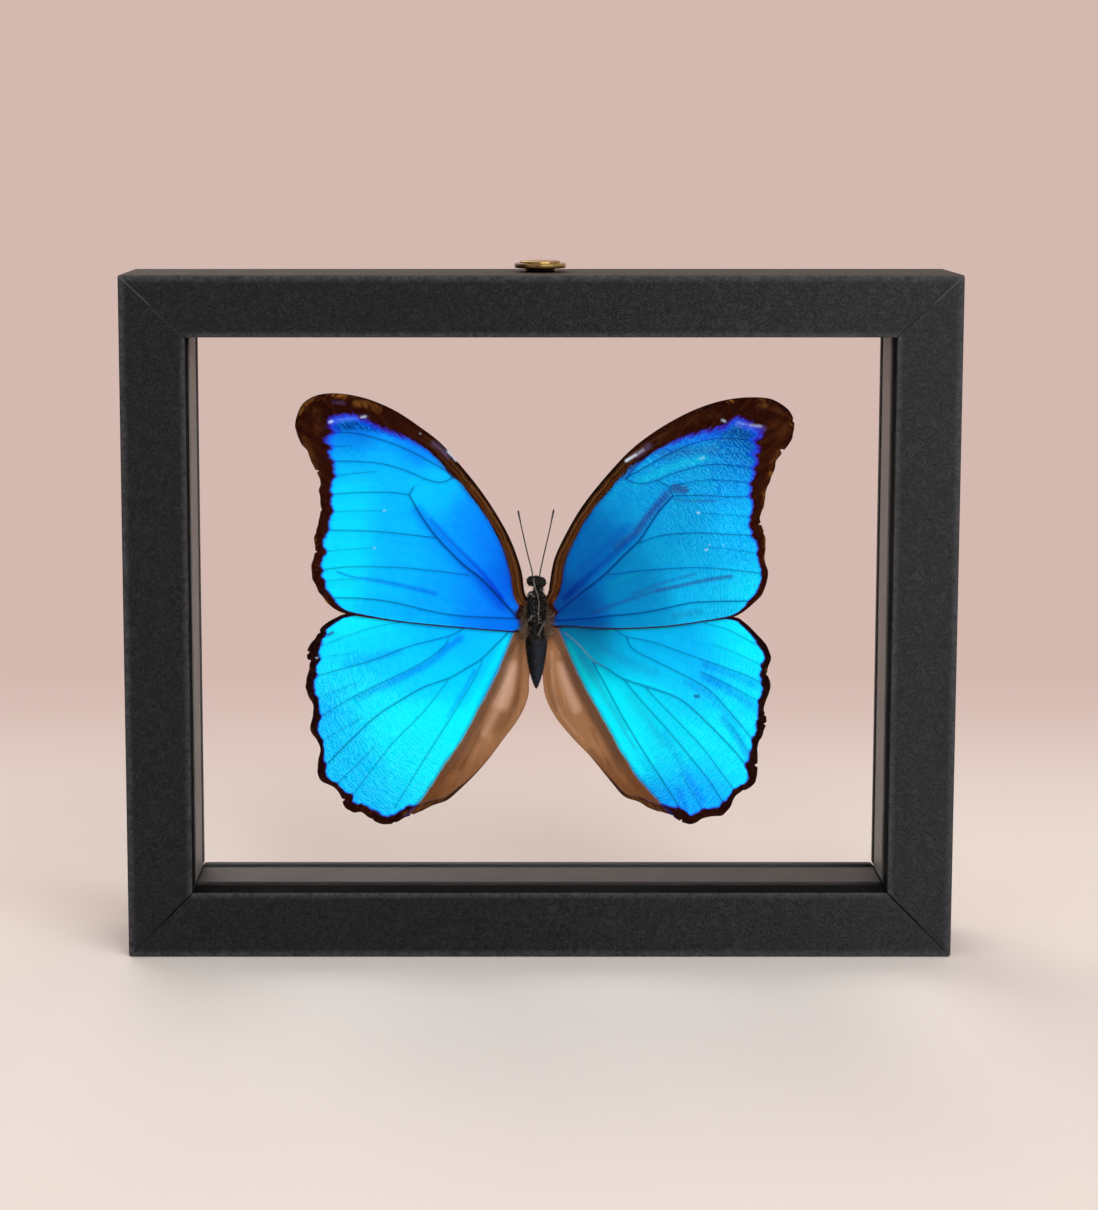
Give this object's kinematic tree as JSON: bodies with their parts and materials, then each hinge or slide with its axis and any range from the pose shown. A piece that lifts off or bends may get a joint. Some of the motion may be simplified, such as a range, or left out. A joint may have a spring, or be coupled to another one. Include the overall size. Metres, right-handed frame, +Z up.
{
  "type": "framed butterfly specimen",
  "caption": "Blue butterfly with spread wings, mounted between two clear panes in a free-standing black frame with a small brass knob on top.",
  "frame": {"origin": "middle of the frame's underside, on the surface it stands on", "axes": "+X to the right as seen from the front, +Y towards the back, +Z up"},
  "size_m": [0.21, 0.028, 0.1772],
  "materials": {
    "frame_wrap": "matt black paper with a fine grain, wrapped over wood",
    "retainer_strip": "matt black",
    "spacer_strip": "grey satin",
    "clear_glass": "clear and polished",
    "brass": "turned and polished, slightly darkened",
    "wing_scales": "metallic blue scales with a dark brown margin in front, brown with ringed spots behind",
    "body_cuticle": "black, dull and finely haired",
    "leg_cuticle": "grey brown, dull",
    "clear_glue": "clear, set glue"
  },
  "bodies": {
    "root": {"rail_top": "frame_wrap", "rail_bottom": "frame_wrap", "rail_left": "frame_wrap", "rail_right": "frame_wrap", "front_glass": "clear_glass", "rear_glass": "clear_glass", "spacer_top": "spacer_strip", "spacer_bottom": "spacer_strip", "spacer_left": "spacer_strip", "spacer_right": "spacer_strip", "retainer_top": "retainer_strip", "retainer_bottom": "retainer_strip", "retainer_left": "retainer_strip", "retainer_right": "retainer_strip", "brass_knob": "brass", "body": "body_cuticle", "forewing_left": "wing_scales", "forewing_right": "wing_scales", "hindwing_left": "wing_scales", "hindwing_right": "wing_scales", "antenna_left": "body_cuticle", "antenna_right": "body_cuticle", "proboscis": "leg_cuticle", "foreleg_left": "leg_cuticle", "foreleg_right": "leg_cuticle", "midleg_left": "leg_cuticle", "midleg_right": "leg_cuticle", "hindleg_left": "leg_cuticle", "hindleg_right": "leg_cuticle", "glue_dot": "clear_glue"}
  },
  "joints": []
}
